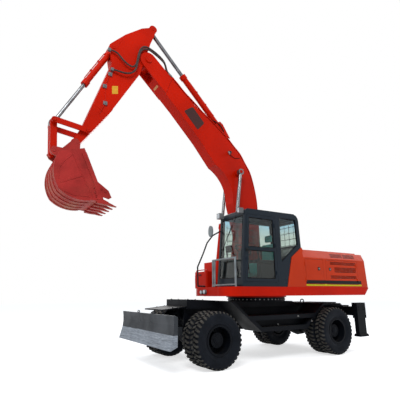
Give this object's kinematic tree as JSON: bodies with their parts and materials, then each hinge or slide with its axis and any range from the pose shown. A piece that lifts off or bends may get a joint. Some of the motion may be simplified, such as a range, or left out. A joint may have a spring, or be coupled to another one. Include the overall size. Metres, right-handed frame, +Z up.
{
  "type": "wheeled excavator",
  "caption": "Large wheeled excavator with swing upper body, one-piece boom, stick and bucket, twin tyres, front dozer blade and rear jacks.",
  "frame": {"origin": "on the floor under the middle of the whole machine", "axes": "+X points forward towards the dozer blade and the bucket, +Y to the machine's left (the cab side), +Z up"},
  "size_m": [8.045, 2.6, 7.9699],
  "materials": {
    "orange": "semi-gloss",
    "deep_red": "satin",
    "bucket_red": "worn",
    "undercarriage": "satin",
    "blade_steel": "worn",
    "cab_grey": "satin",
    "window": "clear",
    "rod_chrome": "polished",
    "tyre": "matte",
    "engine_iron": "rough",
    "seat_cloth": "matte",
    "lamp_grey": "matte",
    "black_plastic": "matte"
  },
  "bodies": {
    "chassis": {"chassis_frame": "undercarriage", "side_boxes": "undercarriage", "slewing_ring": "undercarriage", "front_axle": "undercarriage", "rear_axle": "undercarriage"},
    "left_steering": {"left_knuckle": "undercarriage"},
    "right_steering": {"right_knuckle": "undercarriage"},
    "front_left_wheels": {"front_left_tyres": "tyre", "front_left_rims": "undercarriage"},
    "front_right_wheels": {"front_right_tyres": "tyre", "front_right_rims": "undercarriage"},
    "rear_left_wheels": {"rear_left_tyres": "tyre", "rear_left_rims": "undercarriage"},
    "rear_right_wheels": {"rear_right_tyres": "tyre", "rear_right_rims": "undercarriage"},
    "blade": {"blade": "blade_steel", "blade_eyes": "blade_steel"},
    "blade_barrels": {"blade_ram_barrel": "undercarriage"},
    "blade_rods": {"blade_ram_rod": "rod_chrome"},
    "left_jack": {"left_jack_leg": "undercarriage"},
    "right_jack": {"right_jack_leg": "undercarriage"},
    "upper": {"deck": "deep_red", "engine_housing": "orange", "engine": "engine_iron", "counterweight": "orange", "tanks": "deep_red", "toolbox": "deep_red", "cab": "cab_grey", "cab_glass": "window", "seat": "seat_cloth", "steering_column": "black_plastic", "front_guard": "blade_steel", "handrail": "black_plastic", "mirror": "black_plastic", "lamps": "lamp_grey"},
    "cab_door": {"cab_door": "cab_grey", "door_glass": "window"},
    "left_front_door": {"left_front_door": "orange"},
    "left_rear_door": {"left_rear_door": "orange"},
    "right_front_door": {"right_front_door": "orange"},
    "right_rear_door": {"right_rear_door": "orange"},
    "engine_lid": {"engine_lid": "orange"},
    "boom": {"boom": "deep_red"},
    "boom_barrels": {"boom_ram_barrel": "deep_red"},
    "boom_rods": {"boom_ram_rod": "rod_chrome"},
    "stick": {"stick": "deep_red"},
    "arm_barrel": {"arm_ram_barrel": "deep_red"},
    "arm_rod": {"arm_ram_rod": "rod_chrome"},
    "bucket_barrel": {"bucket_ram_barrel": "deep_red"},
    "bucket_rod": {"bucket_ram_rod": "rod_chrome"},
    "side_links": {"side_links": "deep_red"},
    "bucket_link": {"bucket_link": "deep_red"},
    "bucket": {"bucket": "bucket_red"}
  },
  "joints": [
    {"name": "swing", "type": "hinge", "parent": "chassis", "child": "upper", "pos_m": [-1.19, 0, 1.3], "axis": [0, 0, 1], "continuous": true},
    {"name": "boom_lift", "type": "hinge", "parent": "upper", "child": "boom", "pos_m": [-1.14, -0.1, 1.93], "axis": [0, -1, 0], "range_deg": [-78, 5]},
    {"name": "stick_reach", "type": "hinge", "parent": "boom", "child": "stick", "pos_m": [1.93, -0.1, 6.9], "axis": [0, 1, 0], "range_deg": [-75, 11]},
    {"name": "bucket_dump", "type": "hinge", "parent": "stick", "child": "bucket", "pos_m": [3.458, -0.1, 4.412], "axis": [0, -1, 0], "range_deg": [-78, 85]},
    {"name": "boom_barrel_tilt", "type": "hinge", "parent": "upper", "child": "boom_barrels", "pos_m": [-0.29, -0.1, 1.6], "axis": [0, -1, 0], "range_deg": [-80.8, 5.74]},
    {"name": "boom_rod_slide", "type": "slide", "parent": "boom_barrels", "child": "boom_rods", "axis": [-0.1309, 0, 0.9914], "range_m": [-1.18, 0.0775]},
    {"name": "arm_barrel_tilt", "type": "hinge", "parent": "boom", "child": "arm_barrel", "pos_m": [-0.2, -0.1, 5.765], "axis": [0, -1, 0], "range_deg": [-1.38, 5.91]},
    {"name": "arm_rod_slide", "type": "slide", "parent": "arm_barrel", "child": "arm_rod", "axis": [0.6915, 0, 0.7224], "range_m": [-1.1791, 0.1746]},
    {"name": "bucket_barrel_tilt", "type": "hinge", "parent": "stick", "child": "bucket_barrel", "pos_m": [2.79, -0.1, 6.96], "axis": [0, -1, 0], "range_deg": [-4.64, 5]},
    {"name": "bucket_rod_slide", "type": "slide", "parent": "bucket_barrel", "child": "bucket_rod", "axis": [0.4611, 0, -0.8874], "range_m": [-0.5666, 0.5201]},
    {"name": "side_link_tilt", "type": "hinge", "parent": "stick", "child": "side_links", "pos_m": [3.24, -0.1, 4.71], "axis": [0, -1, 0], "range_deg": [-52.08, 56.7]},
    {"name": "bucket_link_tilt", "type": "hinge", "parent": "side_links", "child": "bucket_link", "pos_m": [3.915, -0.1, 4.795], "axis": [0, -1, 0], "range_deg": [-14.2, 13.08]},
    {"name": "blade_lift", "type": "hinge", "parent": "chassis", "child": "blade", "pos_m": [0.998, 0, 0.64], "axis": [0, -1, 0], "range_deg": [-34, 4]},
    {"name": "blade_barrel_tilt", "type": "hinge", "parent": "chassis", "child": "blade_barrels", "pos_m": [1.128, 0, 1.03], "axis": [0, -1, 0], "range_deg": [-24.75, 3.44]},
    {"name": "blade_rod_slide", "type": "slide", "parent": "blade_barrels", "child": "blade_rods", "axis": [0.7595, 0, -0.6505], "range_m": [-0.0261, 0.2065]},
    {"name": "left_steer", "type": "hinge", "parent": "chassis", "child": "left_steering", "pos_m": [0.79, 0.6, 0.5275], "axis": [0, 0, 1], "range_deg": [-28, 28]},
    {"name": "right_steer", "type": "hinge", "parent": "chassis", "child": "right_steering", "pos_m": [0.79, -0.6, 0.5275], "axis": [0, 0, 1], "range_deg": [-28, 28]},
    {"name": "front_left_spin", "type": "hinge", "parent": "left_steering", "child": "front_left_wheels", "pos_m": [0.79, 1, 0.5275], "axis": [0, 1, 0], "continuous": true},
    {"name": "front_right_spin", "type": "hinge", "parent": "right_steering", "child": "front_right_wheels", "pos_m": [0.79, -1, 0.5275], "axis": [0, 1, 0], "continuous": true},
    {"name": "rear_left_spin", "type": "hinge", "parent": "chassis", "child": "rear_left_wheels", "pos_m": [-2.56, 1, 0.5275], "axis": [0, 1, 0], "continuous": true},
    {"name": "rear_right_spin", "type": "hinge", "parent": "chassis", "child": "rear_right_wheels", "pos_m": [-2.56, -1, 0.5275], "axis": [0, 1, 0], "continuous": true},
    {"name": "left_jack_slide", "type": "slide", "parent": "chassis", "child": "left_jack", "axis": [0, 0, -1], "range_m": [0, 0.33]},
    {"name": "right_jack_slide", "type": "slide", "parent": "chassis", "child": "right_jack", "axis": [0, 0, -1], "range_m": [0, 0.33]},
    {"name": "cab_door_swing", "type": "hinge", "parent": "upper", "child": "cab_door", "pos_m": [-0.815, 1.262, 2.3], "axis": [0, 0, -1], "range_deg": [-165, 0]},
    {"name": "left_front_door_swing", "type": "hinge", "parent": "upper", "child": "left_front_door", "pos_m": [-1.65, 1.272, 1.88], "axis": [0, 0, -1], "range_deg": [0, 110]},
    {"name": "left_rear_door_swing", "type": "hinge", "parent": "upper", "child": "left_rear_door", "pos_m": [-3.563, 1.272, 1.88], "axis": [0, 0, 1], "range_deg": [0, 110]},
    {"name": "right_front_door_swing", "type": "hinge", "parent": "upper", "child": "right_front_door", "pos_m": [-1.65, -1.272, 1.88], "axis": [0, 0, 1], "range_deg": [0, 110]},
    {"name": "right_rear_door_swing", "type": "hinge", "parent": "upper", "child": "right_rear_door", "pos_m": [-3.563, -1.272, 1.88], "axis": [0, 0, -1], "range_deg": [0, 110]},
    {"name": "engine_lid_lift", "type": "hinge", "parent": "upper", "child": "engine_lid", "pos_m": [-1.6, 0, 2.43], "axis": [0, 1, 0], "range_deg": [0, 55]}
  ],
  "couplings": [
    {"joint": "boom_barrel_tilt", "follows": "boom_lift", "ratio": 1.0281},
    {"joint": "boom_rod_slide", "follows": "boom_lift", "m_per_rad": 0.86531},
    {"joint": "arm_barrel_tilt", "follows": "stick_reach", "ratio": -0.07086},
    {"joint": "arm_rod_slide", "follows": "stick_reach", "m_per_rad": 0.89921},
    {"joint": "bucket_barrel_tilt", "follows": "bucket_dump", "ratio": 0.05177},
    {"joint": "bucket_rod_slide", "follows": "bucket_dump", "m_per_rad": -0.3806},
    {"joint": "side_link_tilt", "follows": "bucket_dump", "ratio": 0.66},
    {"joint": "bucket_link_tilt", "follows": "bucket_dump", "ratio": -0.16},
    {"joint": "blade_barrel_tilt", "follows": "blade_lift", "ratio": 0.71033},
    {"joint": "blade_rod_slide", "follows": "blade_lift", "m_per_rad": -0.34459},
    {"joint": "right_steer", "follows": "left_steer", "ratio": 1}
  ]
}
